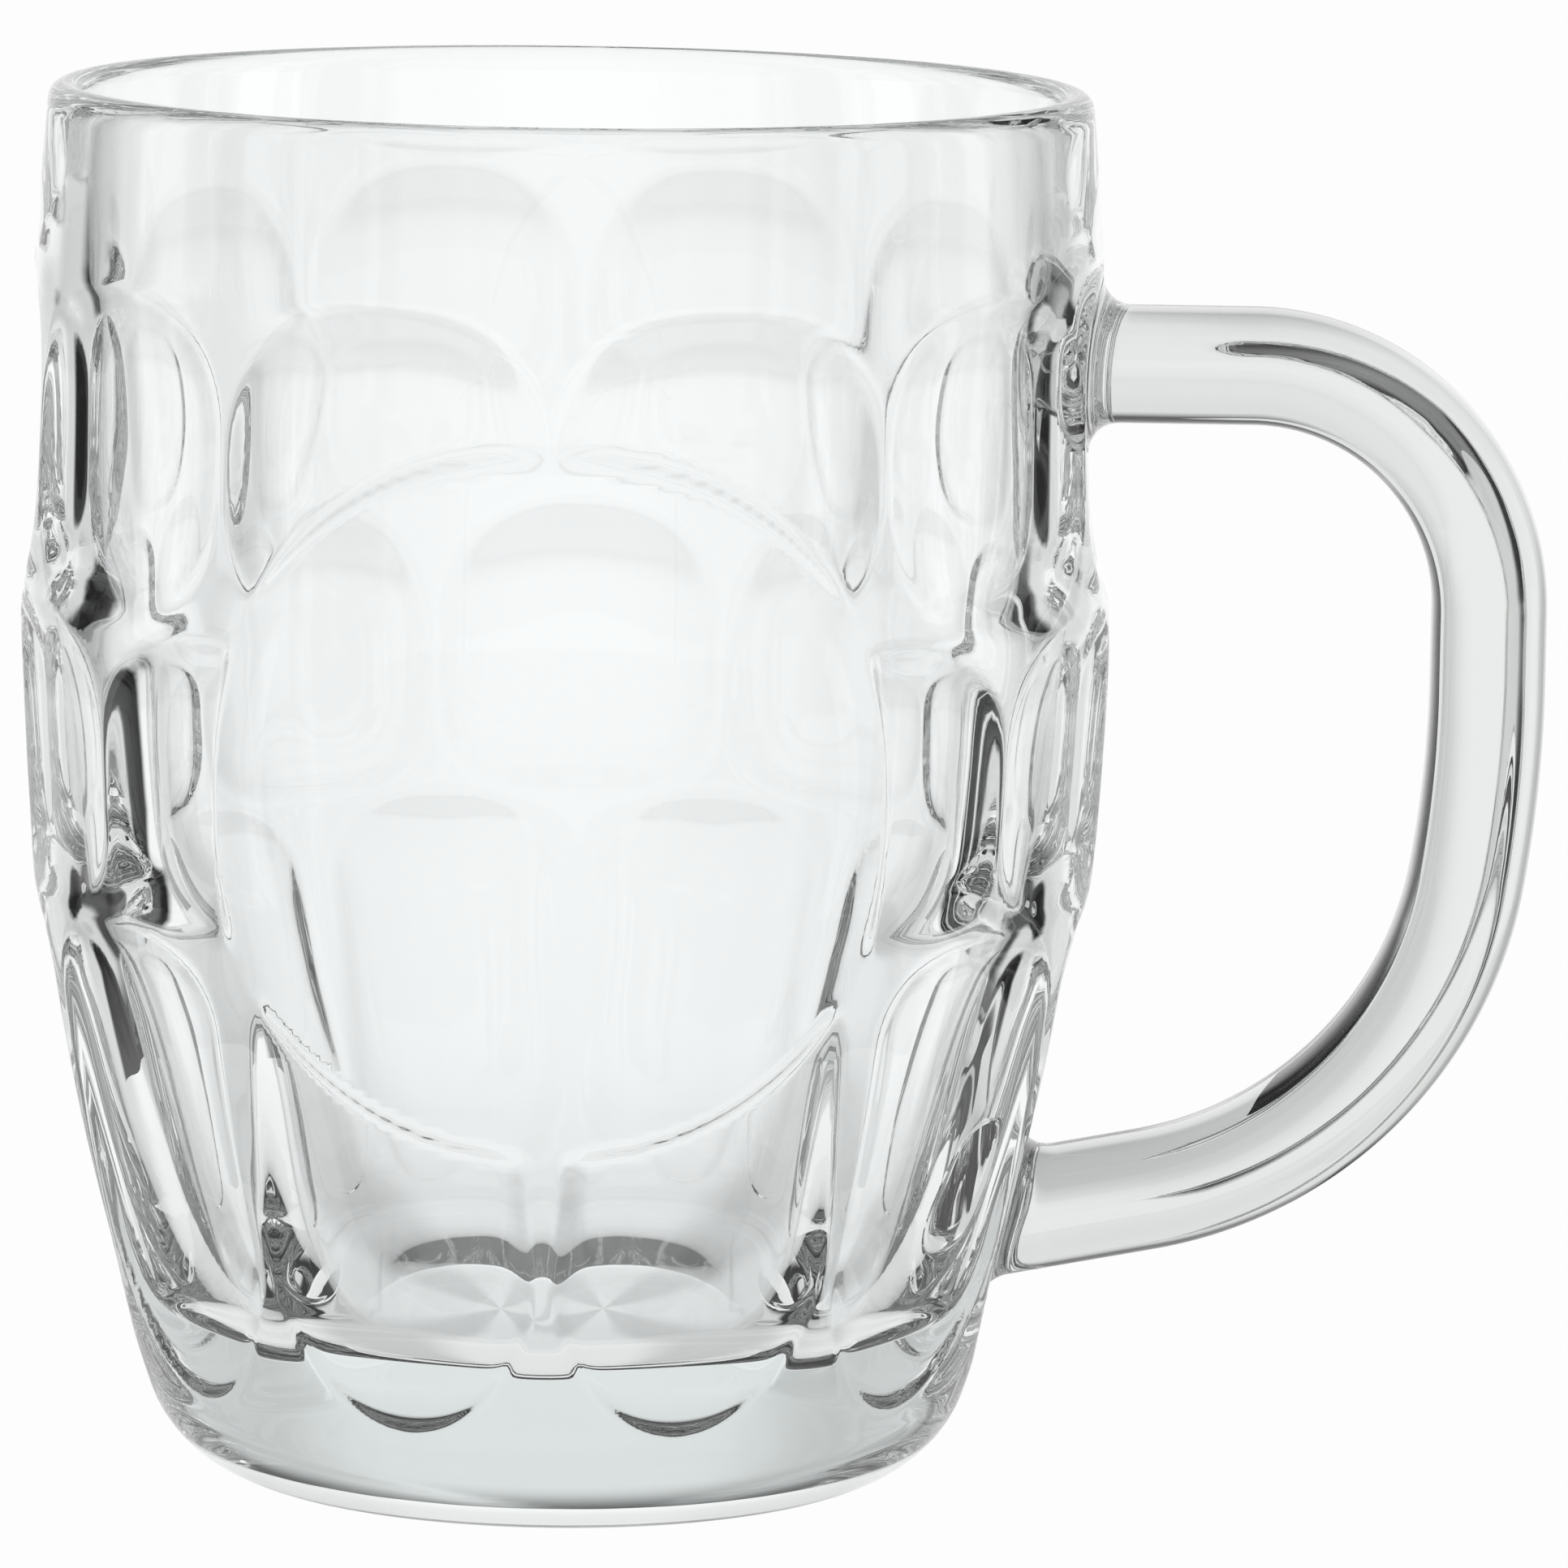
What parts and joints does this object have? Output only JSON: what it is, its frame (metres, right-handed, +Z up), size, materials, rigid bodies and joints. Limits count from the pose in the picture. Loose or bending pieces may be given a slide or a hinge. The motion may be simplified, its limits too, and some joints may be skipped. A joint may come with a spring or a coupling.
{
  "type": "dimpled glass beer mug",
  "caption": "Pressed glass beer mug with a barrel-shaped bowl, staggered rows of dimples, a plain round panel, a thick clear base and a fused loop handle.",
  "frame": {"origin": "middle of the resting face, on the bowl's axis, on the table plane", "axes": "+Z up along the bowl's axis, +X towards the handle, -Y out of the plain round panel"},
  "size_m": [0.133, 0.095, 0.122],
  "materials": {
    "bowl": "clear pressed soda glass with a faint grey-green tint, fire polished",
    "handle": "clear pressed soda glass with a faint grey-green tint, fire polished"
  },
  "bodies": {
    "root": {"bowl": "bowl", "handle": "handle"}
  },
  "joints": []
}
